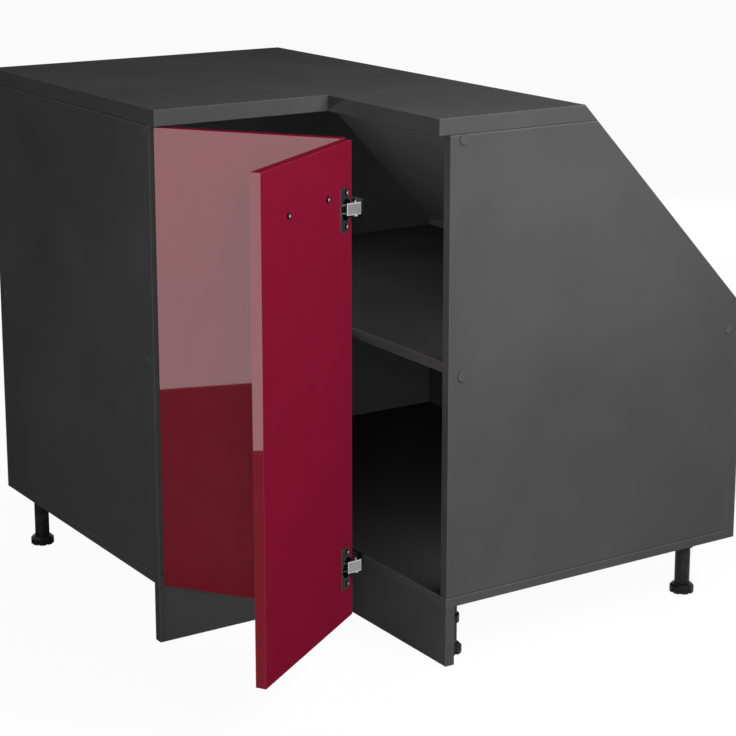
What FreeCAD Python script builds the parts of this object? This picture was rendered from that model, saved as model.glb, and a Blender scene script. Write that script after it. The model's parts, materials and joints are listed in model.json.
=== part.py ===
import FreeCAD, Part
import math
import os

from FreeCAD import Placement, Rotation, Vector

# Corner base cabinet with a roof slope at the back and a folding pair of doors.
# The origin is the corner of the room at floor level: one wall is the plane x = 0, the other is y = 0.
# +X runs along the wall with the slope, -Y along the other wall, +Z up. All lengths are millimetres.

# Overall sizes
unit_width = 900.0            # each wing, from the room corner to its outer end
wing_depth = 600.0            # from the wall to the front edge of the top board
leg_height = 95.0             # floor to the underside of the bottom board
carcass_height = 720.0        # bottom board and end panels together
top_thickness = 25.0
slope_setback = 335.0         # how far the slope cuts the top board back from the wall
knee_height = 487.0           # where the slope reaches the wall

# Boards
board = 16.0
back_thickness = 3.0
edge_radius = 0.6
rebate_width = 8.0            # how much of a board's thickness the back skin covers
rebate_clearance = 0.2
overrun = 1.0                 # how far every cutting tool passes through its work
fan_angle = 45.0               # widest wedge, in degrees, of the tool that cuts a slice of a ring
full_turn_angle = 360.0

# Front line
panel_setback = 19.5          # end panels behind the front edge of the top board
bottom_setback = 18.6         # bottom board and plinths behind the same edge
door_thickness = 16.0
corner_gap = 1.6              # each door's gap at the inside corner
door_end_gap = 2.4            # each door short of the cabinet's outer end
door_top_gap = 2.0
door_bottom_lift = 3.5        # door above the underside of the bottom board

# Cleats that hold the top board to the end panels
cleat_width = 22.0
cleat_lead = 8.0              # how far a cleat runs past its front screw
cleat_end_gap = 1.0
cleat_screw_cover = 3.0       # wood left past the point of a cleat's screw

# Shelf and its pins
shelf_setback = 5.0           # behind the front edges of the end panels
shelf_underside = 457.8
shelf_side_gap = 1.0
pin_radius = 4.0
pin_reach = 14.0
pin_screw_radius = 2.5
pin_screw_depth = 8.0         # how far the pin's own screw enters the pin
back_pin_from_corner = 60.0
back_pin_spacing = 400.0

# Fixings of the end panels, and the caps over them
front_fixing_left = 13.5      # behind the front edge of the left end panel
front_fixing_right = 24.0
rear_fixing_left = 22.0       # from the wall
rear_fixing_right = 30.0
cap_radius = 8.0
cap_rise = 2.2
cap_stem_radius = 2.4
cap_stem_length = 2.5
screw_head_radius = 5.0
screw_head_height = 4.0
screw_shank_radius = 3.0
base_screw_inset = 60.0
base_screw_length = 50.0
back_screw_spacing = 150.0
back_screw_head_radius = 3.5
back_screw_head_height = 1.2
back_screw_shank_radius = 1.4
back_screw_length = 14.0
back_screw_from_edge = 4.0
back_screw_from_end = 40.0

# Legs
leg_flange_side = 48.0
leg_flange_thickness = 4.0
leg_flange_corner = 8.0
leg_socket_radius = 17.0
leg_socket_height = 12.0
leg_tube_radius = 12.5
leg_bore_radius = 9.5
leg_bore_roof = 12.0          # solid stretch left above the bore
leg_screw_inset = 7.0
leg_screw_radius = 1.9
leg_screw_head_radius = 3.6
leg_screw_head_height = 1.6
leg_screw_depth = 12.0
foot_radius = 20.0
foot_height = 14.0
foot_chamfer = 4.0
foot_collar_height = 5.5
foot_tube_gap = 0.3
foot_stem_clearance = 0.3
foot_stem_length = 45.0
foot_notches = 8
foot_notch_width = 4.0
foot_notch_depth = 2.5
foot_notch_height = 6.0
left_leg_side_inset = 36.0
left_leg_rear_inset = 60.0
right_leg_side_inset = 46.0
right_leg_rear_inset = 69.0
front_leg_side_inset = 50.0
leg_behind_plinth = 25.0

# Plinths and the clips that hold them to the front legs
plinth_floor_gap = 1.0
plinth_top_gap = 0.5
clip_height = 12.0
clip_wall = 3.4
clip_clearance = 0.1
clip_plate_width = 34.0
clip_plate_thickness = 3.0
clip_drop = 45.0              # below the bottom board
clip_step = 16.0              # the corner leg carries one clip above the other

# Doors and their two hinge lines
swing_rest_angle = 54.0          # how far the pair of doors stands open
fold_rest_angle = 2.0            # how far the second door is folded against the first
swing_axis_from_edge = 7.8
swing_axis_from_face = 3.6
lower_hinge_rise = 81.0       # middle of the lower hinges above the bottom of the doors
upper_hinge_drop = 96.5       # middle of the upper hinges below the top of the doors

# Hinge cups
cup_inset = 22.5              # cup centre from the edge of the door
cup_radius = 17.5
cup_depth = 11.5
cup_wall = 1.2
cup_floor = 1.0
flange_thickness = 1.2
flange_height = 64.0
flange_width = 26.0
flange_shift = 5.0            # flange centre from the cup centre, away from the hinge
flange_rim = 1.5
flange_corner = 3.0
cup_screw_spacing = 49.0
cup_screw_radius = 1.7
cup_screw_head_radius = 3.6
cup_screw_head_height = 1.8
cup_screw_depth = 10.0

# Hinge layers, as half heights from the middle plane of the hinge
nose_half = 4.5
ear_low = 5.0
ear_high = 7.0
link_low = 7.5
link_high = 9.0
layer_gap = 0.4
ear_root_width = 2.4          # posts that join a door's ears to the bottom of its cup
ear_root_length = 3.6

# Arcs of the swing hinge about its axis: radii, then angles from the door's length
swing_arc_inner = 15.2
swing_arc_outer = 19.2
swing_wall_thickness = 1.2
swing_start_angle = 10.0
swing_nose_end_angle = 60.0
swing_link_end_angle = 65.0
swing_wall_end_angle = 46.0

# Arcs of the fold hinge about its axis
fold_arc_inner = 22.0
fold_arc_outer = 28.3
fold_wall_thickness = 1.6
fold_ear_start_angle = -70.0
fold_ear_end_angle = -10.0
fold_link_start_angle = -53.0
fold_link_end_angle = 82.0
fold_nose_start_angle = 45.0
fold_nose_end_angle = 104.0
fold_link_facets = 3          # flat faces of the link's outer wall
fold_link_edge_radius = 0.8

# Hinge arms and the plates under them
plate_thickness = 3.2
plate_length = 50.0
plate_from_edge = 10.0
plate_half_height = 8.0
wing_from_edge = 28.0
wing_length = 18.0
wing_half_height = 25.0
arm_from_edge = 4.0
arm_length = 56.0
arm_rise = 10.8
arm_half_height = 8.0
arm_round = 2.0
arm_screw_radius = 3.2
arm_screw_height = 0.8
arm_front_screw = 18.0
arm_rear_screw = 44.0
tongue_side_gap = 1.4         # tongue of the swing arm off the end panel
tongue_width = 5.3
tongue_start = 15.5
tongue_end = 21.0
plate_screw_line = 37.0
plate_screw_spacing = 32.0
plate_screw_radius = 2.0
plate_screw_head_radius = 3.8
plate_screw_head_height = 1.8
plate_screw_depth = 11.0

# Handle of the second door, held by two screws from the inside
handle_spacing = 128.0
handle_drop = 71.5            # below the top of the door
handle_radius = 5.0
handle_reach = 30.0
handle_bend = 14.0
handle_foot_radius = 7.0
handle_foot_height = 2.0
handle_screw_radius = 2.0
handle_screw_head_radius = 4.8
handle_screw_head_height = 2.2
handle_screw_into = 8.0

# Worked out from the above
carcass_top = leg_height + carcass_height
unit_height = carcass_top + top_thickness
door_width = unit_width - wing_depth - corner_gap - door_end_gap
base_top = leg_height + board
panel_front = wing_depth - panel_setback
bottom_front = wing_depth - bottom_setback
shelf_front = panel_front - shelf_setback
shelf_top = shelf_underside + board
door_bottom = leg_height + door_bottom_lift
door_top = carcass_top - door_top_gap
hinge_levels = {"lower": door_bottom + lower_hinge_rise, "upper": door_top - upper_hinge_drop}
slope_run = slope_setback / (unit_height - knee_height)
slope_stretch = math.hypot(1, slope_run)
fold_axis_offset = corner_gap / 2

up = Vector(0, 0, 1)
parts = {}


def box(x0, x1, y0, y1, z0, z1):
    low = Vector(min(x0, x1), min(y0, y1), min(z0, z1))
    return Part.makeBox(abs(x1 - x0), abs(y1 - y0), abs(z1 - z0), low)


def prism(points, direction):
    """A closed outline pushed along a direction."""
    wire = Part.makePolygon(points + [points[0]])
    return Part.Face(wire).extrude(direction)


def plan(points, z0, z1):
    """An outline seen from above, between two levels."""
    return prism([Vector(x, y, z0) for x, y in points], Vector(0, 0, z1 - z0))


def profile(points, x0, x1):
    """An outline seen along X, between two places on X."""
    return prism([Vector(x0, y, z) for y, z in points], Vector(x1 - x0, 0, 0))


def rod(radius, start, direction, length):
    return Part.makeCylinder(radius, length, start, direction)


def domed(radius, start, direction, height):
    """A disc with its outer rim rounded, as on the head of a screw."""
    disc = rod(radius, start, direction, height)
    crown = start + direction * height
    rim = [e for e in disc.Edges if e.Closed and (e.CenterOfMass - crown).Length < height / 2]
    return disc.makeFillet(height / 2, rim)


def sector(r0, r1, a0, a1, z0, z1):
    """A slice of a ring about the Z axis, between two angles in degrees."""
    ring = rod(r1, Vector(0, 0, z0), up, z1 - z0)
    ring = ring.cut(rod(r0, Vector(0, 0, z0 - overrun), up, z1 - z0 + 2 * overrun))
    steps = max(2, math.ceil((a1 - a0) / fan_angle))
    reach = 2 * r1
    fan = [Vector(0, 0, z0 - overrun)]
    for i in range(steps + 1):
        a = math.radians(a0 + (a1 - a0) * i / steps)
        fan.append(Vector(reach * math.cos(a), reach * math.sin(a), z0 - overrun))
    return ring.common(prism(fan, Vector(0, 0, z1 - z0 + 2 * overrun)))


def both_halves(shape):
    """The same piece above and below the middle plane of a hinge."""
    return [shape, shape.mirror(Vector(0, 0, 0), up)]


def fused(shapes):
    whole = shapes[0].multiFuse(shapes[1:]) if len(shapes) > 1 else shapes[0]
    return whole.removeSplitter()


def softened(shape, radius=edge_radius):
    """Every edge of a board slightly rounded."""
    return shape.makeFillet(radius, shape.Edges)


def placed(shape, placement):
    moved = shape.copy()
    moved.Placement = placement.multiply(shape.Placement)
    return moved


def keep(name, shape):
    parts[name] = shape


def group(name, shapes):
    parts[name] = Part.makeCompound(shapes)


def drilled(name, tools):
    """Opens a kept part for the fixings that pass through it."""
    parts[name] = parts[name].cut(tools)


def slope_y(z, inward=0.0):
    """Where the slope stands at a height, or a plane parallel to it further inside."""
    return -slope_setback + (unit_height - z) * slope_run - inward * slope_stretch


def rear_y(z, inset):
    """The furthest back that a piece may reach at a height, kept clear of the wall and of the slope."""
    return min(-inset, slope_y(z, inset))


def skin_outline(low):
    """The back skin in section: down the slope, round the knee and down the wall."""
    knee_inner = unit_height - (slope_setback - back_thickness + back_thickness * slope_stretch) / slope_run
    top_outer = (slope_y(carcass_top), carcass_top)
    top_inner = (slope_y(carcass_top, back_thickness), carcass_top)
    slope_part = [top_outer, (0, knee_height), (-back_thickness, knee_inner), top_inner]
    wall_part = [(0, knee_height), (0, low), (-back_thickness, low), (-back_thickness, knee_inner)]
    return slope_part, wall_part


def ell(front, side, end, z0, z1, back=0.0, wall=0.0):
    """The plan of a board that fills both wings: front lines, outer ends, and the two walls."""
    points = [(wall, -end), (front, -end), (front, -front), (side, -front), (side, back), (wall, back)]
    return plan(points, z0, z1)


# The boards of the carcass
def make_boards():
    rear = slope_y(carcass_top)
    top = ell(wing_depth, unit_width, unit_width, carcass_top, unit_height, back=rear)
    wedge = [
        (slope_y(unit_height + overrun), unit_height + overrun),
        (slope_y(carcass_top - overrun), carcass_top - overrun),
        (overrun, carcass_top - overrun),
        (overrun, unit_height + overrun),
    ]
    top = top.cut(profile(wedge, -overrun, unit_width + overrun))
    keep("top_board", softened(top))

    slope_skin, wall_skin = skin_outline(leg_height + board - rebate_width)
    seat_left = [profile(p, board - rebate_width, board + overrun) for p in (slope_skin, wall_skin)]
    inner_right = unit_width - board
    seat_right = [profile(p, inner_right - overrun, inner_right + rebate_width)
                  for p in (slope_skin, wall_skin)]

    keep("left_end_panel", softened(
        box(0, panel_front, -unit_width, -unit_width + board, base_top, carcass_top)))

    gable = [(-panel_front, base_top), (-panel_front, carcass_top), (slope_y(carcass_top), carcass_top),
             (0, knee_height), (0, base_top)]
    keep("right_end_panel", softened(profile(gable, inner_right, unit_width)).cut(seat_right))

    side = [(-unit_width + board, base_top), (-unit_width + board, carcass_top),
            (slope_y(carcass_top), carcass_top), (0, knee_height), (0, base_top)]
    keep("left_back_board", softened(profile(side, 0, board)).cut(seat_left))

    bottom = softened(ell(bottom_front, unit_width, unit_width, leg_height, base_top))
    seat = box(board - rebate_width, inner_right + rebate_width, -back_thickness, overrun,
               base_top - rebate_width, base_top + overrun)
    keep("bottom_board", bottom.cut(seat))

    shelf_side = inner_right - shelf_side_gap
    shelf_end = unit_width - board - shelf_side_gap
    keep("shelf", softened(ell(shelf_front, shelf_side, shelf_end, shelf_underside, shelf_top,
                               back=rear_y(shelf_top, back_thickness + shelf_side_gap),
                               wall=board + shelf_side_gap)))

    skin_start = board - rebate_width + rebate_clearance
    skin_end = inner_right + rebate_width - rebate_clearance
    keep("sloped_back_panel", profile(slope_skin, skin_start, skin_end))
    keep("lower_back_panel", profile(wall_skin, skin_start, skin_end))


# The cleats inside the end panels, right under the top board
def make_cleats():
    low = carcass_top - board
    left_face = -unit_width + board
    left_end = panel_front - front_fixing_left + cleat_lead
    keep("left_cleat", softened(
        box(board, left_end, left_face, left_face + cleat_width, low, carcass_top)))
    right_face = unit_width - board
    right_end = -panel_front + front_fixing_right - cleat_lead
    rear_end = slope_y(carcass_top, back_thickness) - cleat_end_gap
    keep("right_cleat", softened(
        box(right_face - cleat_width, right_face, right_end, rear_end, low, carcass_top)))


# Screws through the end panels, the shelf pins and the caps that cover both
def cover_cap(place, outward):
    dome = domed(cap_radius, place, outward, cap_rise)
    stem = rod(cap_stem_radius, place - outward * cap_stem_length, outward, cap_stem_length + cap_rise / 2)
    return fused([dome, stem])


def carcass_screw(place, outward, length):
    """A screw whose head lies under a cap's stem."""
    head_face = place - outward * cap_stem_length
    head = rod(screw_head_radius, head_face - outward * screw_head_height, outward, screw_head_height)
    shank = rod(screw_shank_radius, place - outward * length, outward, length - cap_stem_length)
    return fused([head, shank])


def head_recess(place, outward):
    return rod(screw_head_radius, place - outward * cap_stem_length, outward, cap_stem_length + overrun)


def make_panel_fixings():
    left = Vector(0, -1, 0)
    right = Vector(1, 0, 0)
    cleat_level = carcass_top - board / 2
    pin_level = shelf_underside - pin_radius
    left_front = panel_front - front_fixing_left
    right_front = -panel_front + front_fixing_right
    right_rear = rear_y(pin_level, rear_fixing_right)
    cleat_spots = [
        ("left_end_panel", "left_cleat", Vector(left_front, -unit_width, cleat_level), left),
        ("left_end_panel", "left_cleat", Vector(rear_fixing_left, -unit_width, cleat_level), left),
        ("right_end_panel", "right_cleat", Vector(unit_width, right_front, cleat_level), right),
    ]
    pin_spots = [
        ("left_end_panel", Vector(left_front, -unit_width, pin_level), left),
        ("left_end_panel", Vector(rear_fixing_left, -unit_width, pin_level), left),
        ("right_end_panel", Vector(unit_width, right_front, pin_level), right),
        ("right_end_panel", Vector(unit_width, right_rear, pin_level), right),
    ]
    caps = []
    cleat_screws = []
    for panel, cleat, place, outward in cleat_spots:
        screw = carcass_screw(place, outward, board + cleat_width - cleat_screw_cover)
        drilled(panel, [screw, head_recess(place, outward)])
        drilled(cleat, [screw])
        cleat_screws.append(screw)
        caps.append(cover_cap(place, outward))
    group("cleat_screws", cleat_screws)

    pins = []
    pin_screws = []
    for panel, place, outward in pin_spots:
        screw_length = board + pin_screw_depth
        head_face = place - outward * cap_stem_length
        head = rod(screw_head_radius, head_face - outward * screw_head_height, outward, screw_head_height)
        shank = rod(pin_screw_radius, place - outward * screw_length, outward, screw_length - cap_stem_length)
        screw = fused([head, shank])
        pin = rod(pin_radius, place - outward * (board + pin_reach), outward, pin_reach).cut(screw)
        drilled(panel, [screw, head_recess(place, outward)])
        pins.append(pin)
        pin_screws.append(screw)
        caps.append(cover_cap(place, outward))
    for i in range(2):
        place = Vector(board, rear_y(pin_level, back_pin_from_corner) - i * back_pin_spacing, pin_level)
        pin = rod(pin_radius, place - right * board / 2, right, board / 2 + pin_reach)
        drilled("left_back_board", [pin])
        pins.append(pin)
    group("shelf_pins", pins)
    group("shelf_pin_screws", pin_screws)
    group("cover_caps", caps)


# Screws up through the bottom board into the upright boards
def make_base_screws():
    screws = []
    half = board / 2
    spots = [(base_screw_inset, -unit_width + half, "left_end_panel"),
             (panel_front - base_screw_inset, -unit_width + half, "left_end_panel"),
             (unit_width - half, -panel_front + base_screw_inset, "right_end_panel"),
             (unit_width - half, -base_screw_inset, "right_end_panel"),
             (half, -unit_width + board + base_screw_inset, "left_back_board"),
             (half, -base_screw_inset, "left_back_board")]
    for x, y, upright in spots:
        head = rod(screw_head_radius, Vector(x, y, leg_height), up, screw_head_height)
        shank = rod(screw_shank_radius, Vector(x, y, leg_height), up, base_screw_length)
        screw = fused([head, shank])
        drilled("bottom_board", [screw])
        drilled(upright, [screw])
        screws.append(screw)
    group("base_screws", screws)


# Screws that hold the back skin into the rebates of the two gables
def make_back_screws():
    screws = []
    columns = [("left_back_board", board - back_screw_from_edge),
               ("right_end_panel", unit_width - board + back_screw_from_edge)]
    slope_length = math.hypot(slope_y(carcass_top), carcass_top - knee_height)
    down_slope = Vector(0, -slope_y(carcass_top), knee_height - carcass_top).normalize()
    outward_slope = Vector(0, -down_slope.z, down_slope.y)
    wall_low = base_top - rebate_width
    runs = [("sloped_back_panel", Vector(0, slope_y(carcass_top), carcass_top), down_slope, outward_slope,
             slope_length),
            ("lower_back_panel", Vector(0, 0, knee_height), Vector(0, 0, -1), Vector(0, 1, 0),
             knee_height - wall_low)]
    for gable, x in columns:
        for panel, start, along, outward, length in runs:
            count = round((length - 2 * back_screw_from_end) / back_screw_spacing) + 1
            pitch = (length - 2 * back_screw_from_end) / (count - 1)
            for i in range(count):
                place = start + Vector(x, 0, 0) + along * (back_screw_from_end + i * pitch)
                head = rod(back_screw_head_radius, place, -outward, back_screw_head_height)
                shank = rod(back_screw_shank_radius, place, -outward, back_screw_length)
                screw = fused([head, shank])
                drilled(panel, [screw])
                drilled(gable, [screw])
                screws.append(screw)
    group("back_panel_screws", screws)


# Legs, feet, plinths and clips
def leg_places():
    behind = bottom_front - board - leg_behind_plinth
    return {
        "left_rear": (left_leg_rear_inset, -unit_width + left_leg_side_inset),
        "left_front": (behind, -unit_width + front_leg_side_inset),
        "corner_front": (behind, -behind),
        "corner_rear": (left_leg_rear_inset, -left_leg_rear_inset),
        "right_front": (unit_width - front_leg_side_inset, -behind),
        "right_rear": (unit_width - right_leg_side_inset, -right_leg_rear_inset),
    }


def make_leg(name, x, y):
    tube_low = foot_height + foot_collar_height + foot_tube_gap
    flange_low = leg_height - leg_flange_thickness
    half = leg_flange_side / 2
    flange = box(x - half, x + half, y - half, y + half, flange_low, leg_height)
    upright = [e for e in flange.Edges if e.tangentAt(e.FirstParameter).z != 0]
    flange = flange.makeFillet(leg_flange_corner, upright)
    socket = rod(leg_socket_radius, Vector(x, y, flange_low - leg_socket_height), up,
                 leg_socket_height + leg_flange_thickness)
    tube = rod(leg_tube_radius, Vector(x, y, tube_low), up, leg_height - tube_low)
    bore = rod(leg_bore_radius, Vector(x, y, tube_low - overrun), up,
               leg_height - leg_bore_roof - tube_low + overrun)
    leg = fused([flange, socket, tube]).cut(bore)
    screws = []
    corner = half - leg_screw_inset
    for sx in (-1, 1):
        for sy in (-1, 1):
            place = Vector(x + sx * corner, y + sy * corner, flange_low)
            head = rod(leg_screw_head_radius, place - up * leg_screw_head_height, up, leg_screw_head_height)
            shank = rod(leg_screw_radius, place, up, leg_flange_thickness + leg_screw_depth)
            screws.append(fused([head, shank]))
    keep("leg_" + name, leg.cut(screws))
    drilled("bottom_board", screws)

    foot = rod(foot_radius, Vector(x, y, 0), up, foot_height)
    rim = [e for e in foot.Edges if e.Closed and e.CenterOfMass.z > foot_height / 2]
    foot = foot.makeChamfer(foot_chamfer, rim)
    collar = rod(leg_tube_radius, Vector(x, y, 0), up, foot_height + foot_collar_height)
    stem = rod(leg_bore_radius - foot_stem_clearance, Vector(x, y, 0), up,
               foot_height + foot_collar_height + foot_stem_length)
    notches = []
    for i in range(foot_notches):
        notch = box(foot_radius - foot_notch_depth, foot_radius + overrun,
                    -foot_notch_width / 2, foot_notch_width / 2, -overrun, foot_notch_height)
        notch.rotate(Vector(0, 0, 0), up, full_turn_angle * i / foot_notches)
        notch.translate(Vector(x, y, 0))
        notches.append(notch)
    keep("foot_" + name, fused([foot, collar, stem]).cut(notches))
    return screws


def plinth_clip(x, y, z, direction):
    """A ring round a leg with a plate against the back of a plinth."""
    inner = leg_tube_radius + clip_clearance
    outer = inner + clip_wall
    ring = rod(outer, Vector(x, y, z), up, clip_height)
    bridge = box(0, leg_behind_plinth, -clip_wall, clip_wall, 0, clip_height)
    plate = box(leg_behind_plinth - clip_plate_thickness, leg_behind_plinth,
                -clip_plate_width / 2, clip_plate_width / 2, 0, clip_height)
    turn = math.degrees(math.atan2(direction.y, direction.x))
    arm = placed(fused([bridge, plate]), Placement(Vector(x, y, z), Rotation(up, turn)))
    bore = rod(inner, Vector(x, y, z - overrun), up, clip_height + 2 * overrun)
    return fused([ring, arm]).cut(bore)


def make_base():
    places = leg_places()
    screws = []
    for name, (x, y) in places.items():
        screws += make_leg(name, x, y)
    group("leg_screws", screws)

    low = plinth_floor_gap
    high = leg_height - plinth_top_gap
    back = bottom_front - board
    keep("left_plinth", softened(box(back, bottom_front, -unit_width, -back, low, high)))
    keep("right_plinth", softened(box(bottom_front, unit_width, -bottom_front, -back, low, high)))

    to_left_plinth = Vector(1, 0, 0)
    to_right_plinth = Vector(0, -1, 0)
    level = leg_height - clip_drop
    clips = [plinth_clip(*places["left_front"], level, to_left_plinth),
             plinth_clip(*places["corner_front"], level, to_left_plinth),
             plinth_clip(*places["corner_front"], level + clip_step, to_right_plinth),
             plinth_clip(*places["right_front"], level, to_right_plinth)]
    group("plinth_clips", clips)


# Hinge frames. In each, the axis is the local Z, local X runs along the first door towards the second,
# and local Y points from the first door's inner face into the cabinet when everything is closed.
swing_origin = Vector(wing_depth - swing_axis_from_face,
                      -wing_depth - corner_gap - door_width + swing_axis_from_edge, 0)
fold_origin = Vector(wing_depth + fold_axis_offset, -wing_depth - fold_axis_offset, 0)
closed_turn = Rotation(up, 90)
swing_frame = Placement(swing_origin, closed_turn)


def turned(angle):
    return Placement(Vector(0, 0, 0), Rotation(up, -angle))


first_door = swing_frame.multiply(turned(swing_rest_angle))
swing_link = swing_frame.multiply(turned(swing_rest_angle / 2))
fold_offset = swing_frame.inverse().multVec(fold_origin)
fold_frame = first_door.multiply(Placement(fold_offset, Rotation()))
second_door = fold_frame.multiply(turned(fold_rest_angle))
fold_link = fold_frame.multiply(turned(fold_rest_angle / 2))

# Doors in those frames
swing_inner_face = door_thickness - swing_axis_from_face
fold_outer_face = fold_axis_offset
fold_inner_face = fold_axis_offset + door_thickness


def lifted(shape, level):
    return placed(shape, Placement(Vector(0, 0, level), Rotation()))


# A cup: local X leaves the door, local Y runs towards the door's hinge edge, the origin is on the inner face
def cup_shell():
    out = Vector(1, 0, 0)
    shell = rod(cup_radius, Vector(-cup_depth, 0, 0), out, cup_depth)
    rim = rod(cup_radius + flange_rim, Vector(0, 0, 0), out, flange_thickness)
    half = flange_height / 2
    plate = box(0, flange_thickness, -flange_shift - flange_width / 2, -flange_shift + flange_width / 2,
                -half, half)
    corners = [e for e in plate.Edges if abs(e.tangentAt(e.FirstParameter).x) > 0]
    plate = plate.makeFillet(flange_corner, corners)
    hollow = rod(cup_radius - cup_wall, Vector(-cup_depth + cup_floor, 0, 0), out, cup_depth + overrun
                 + flange_thickness)
    return fused([shell, rim, plate]).cut(hollow)


def cup_screws():
    screws = []
    for side in (-1, 1):
        place = Vector(flange_thickness, 0, side * cup_screw_spacing / 2)
        head = domed(cup_screw_head_radius, place, Vector(1, 0, 0), cup_screw_head_height)
        shank = rod(cup_screw_radius, place, Vector(-1, 0, 0), flange_thickness + cup_screw_depth)
        screws.append(fused([head, shank]))
    return screws


# An arm with its plate: local X runs along the surface to its edge, local Y leaves the surface
def arm_block():
    block = box(-arm_from_edge - arm_length, -arm_from_edge, plate_thickness, plate_thickness + arm_rise,
                -arm_half_height, arm_half_height)
    ridges = [e for e in block.Edges if abs(e.tangentAt(e.FirstParameter).x) > 0
              and e.CenterOfMass.y > plate_thickness + arm_rise / 2]
    block = block.makeFillet(arm_round, ridges)
    heads = [rod(arm_screw_radius, Vector(-arm_from_edge - place, plate_thickness + arm_rise, 0),
                 Vector(0, 1, 0), arm_screw_height) for place in (arm_front_screw, arm_rear_screw)]
    return fused([block] + heads)


def arm_plate():
    bar = box(-plate_from_edge - plate_length, -plate_from_edge, 0, plate_thickness,
              -plate_half_height, plate_half_height)
    wings = box(-wing_from_edge - wing_length, -wing_from_edge, 0, plate_thickness,
                -wing_half_height, wing_half_height)
    return fused([bar, wings])


def plate_screws():
    screws = []
    for side in (-1, 1):
        place = Vector(-plate_screw_line, plate_thickness, side * plate_screw_spacing / 2)
        head = rod(plate_screw_head_radius, place, Vector(0, 1, 0), plate_screw_head_height)
        shank = rod(plate_screw_radius, place, Vector(0, -1, 0), plate_thickness + plate_screw_depth)
        screws.append(fused([head, shank]))
    return screws


def axes(origin, x_axis, y_axis):
    """A placement from an origin and two directions in a hinge frame."""
    z_axis = x_axis.cross(y_axis)
    return Placement(origin, Rotation(x_axis, y_axis, z_axis, "ZXY"))


def round_channel(r0, r1, wall, start, end, wall_end):
    """Two side plates about the axis, joined by an outer wall."""
    side = sector(r0, r1 + layer_gap + wall, start, end, link_low, link_high)
    web = sector(r1 + layer_gap, r1 + layer_gap + wall, start, wall_end, -link_high, link_high)
    return fused(both_halves(side) + [web])


def faceted_fan(apothem, start, end, half_height):
    """A block about the axis whose outer wall is flat facets, and the radius of their corners."""
    step = (end - start) / fold_link_facets
    corner_radius = apothem / math.cos(math.radians(step / 2))
    outline = [Vector(0, 0, -half_height)]
    for i in range(fold_link_facets + 1):
        a = math.radians(start + i * step)
        outline.append(Vector(corner_radius * math.cos(a), corner_radius * math.sin(a), -half_height))
    return prism(outline, Vector(0, 0, 2 * half_height)), corner_radius


def faceted_channel(r0, r1, wall, start, end):
    """Two side plates about the axis, joined by an outer wall in flat facets."""
    block, corner_radius = faceted_fan(r1 + layer_gap + wall, start, end, link_high)
    rims = [e for e in block.Edges if all(v.X ** 2 + v.Y ** 2 > (corner_radius / 2) ** 2 for v in e.Vertexes)]
    block = block.makeFillet(fold_link_edge_radius, rims)
    hollow, _ = faceted_fan(r1 + layer_gap, start, end, link_low)
    core = rod(r0, Vector(0, 0, -link_high - overrun), up, 2 * (link_high + overrun))
    return block.cut([hollow, core])


# Where each cup and arm sits in its hinge frame
door_hinge_edge = -swing_axis_from_edge
swing_cup_centre = Vector(door_hinge_edge + cup_inset, swing_inner_face, 0)
fold_cup_centre = Vector(fold_inner_face, -fold_axis_offset - cup_inset, 0)
swing_cup_place = axes(swing_cup_centre, Vector(0, 1, 0), Vector(-1, 0, 0))
fold_cup_place = axes(fold_cup_centre, Vector(1, 0, 0), Vector(0, 1, 0))
panel_face = -unit_width + board - swing_origin.y
panel_edge = swing_origin.x - panel_front
swing_arm_place = axes(Vector(panel_face, panel_edge, 0), Vector(0, -1, 0), Vector(1, 0, 0))
fold_arm_place = axes(Vector(-fold_axis_offset, fold_inner_face, 0), Vector(1, 0, 0), Vector(0, 1, 0))


def make_swing_hinge(name, level):
    """The hinge between the left end panel and the first door."""
    ears = both_halves(sector(swing_arc_inner, swing_arc_outer, swing_start_angle, swing_link_end_angle,
                              ear_low, ear_high))
    floor_y = swing_inner_face - cup_depth + cup_floor / 2
    roots = both_halves(box(swing_arc_inner - overrun, swing_arc_outer - overrun, floor_y,
                            floor_y + ear_root_length, ear_low, ear_high))
    cup = fused([placed(cup_shell(), swing_cup_place)] + ears + roots)
    screws = [placed(s, swing_cup_place) for s in cup_screws()]
    keep("swing_hinge_cup_" + name, placed(lifted(cup.cut(screws), level), first_door))

    link = round_channel(swing_arc_inner, swing_arc_outer, swing_wall_thickness, swing_start_angle,
                         swing_link_end_angle, swing_wall_end_angle)
    keep("swing_hinge_link_" + name, placed(lifted(link, level), swing_link))

    nose = sector(swing_arc_inner, swing_arc_outer, swing_start_angle, swing_nose_end_angle,
                  -nose_half, nose_half)
    tongue_low = panel_face + tongue_side_gap
    tongue = box(tongue_low, tongue_low + tongue_width, tongue_start, tongue_end, -nose_half, nose_half)
    arm = fused([placed(arm_block(), swing_arm_place), nose, tongue])
    plate_fixings = [placed(s, swing_arm_place) for s in plate_screws()]
    plate = placed(arm_plate(), swing_arm_place).cut(plate_fixings)
    keep("swing_hinge_arm_" + name, placed(lifted(arm, level), swing_frame))
    keep("swing_hinge_plate_" + name, placed(lifted(plate, level), swing_frame))
    return ([placed(lifted(s, level), first_door) for s in screws],
            [placed(lifted(s, level), swing_frame) for s in plate_fixings])


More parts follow.
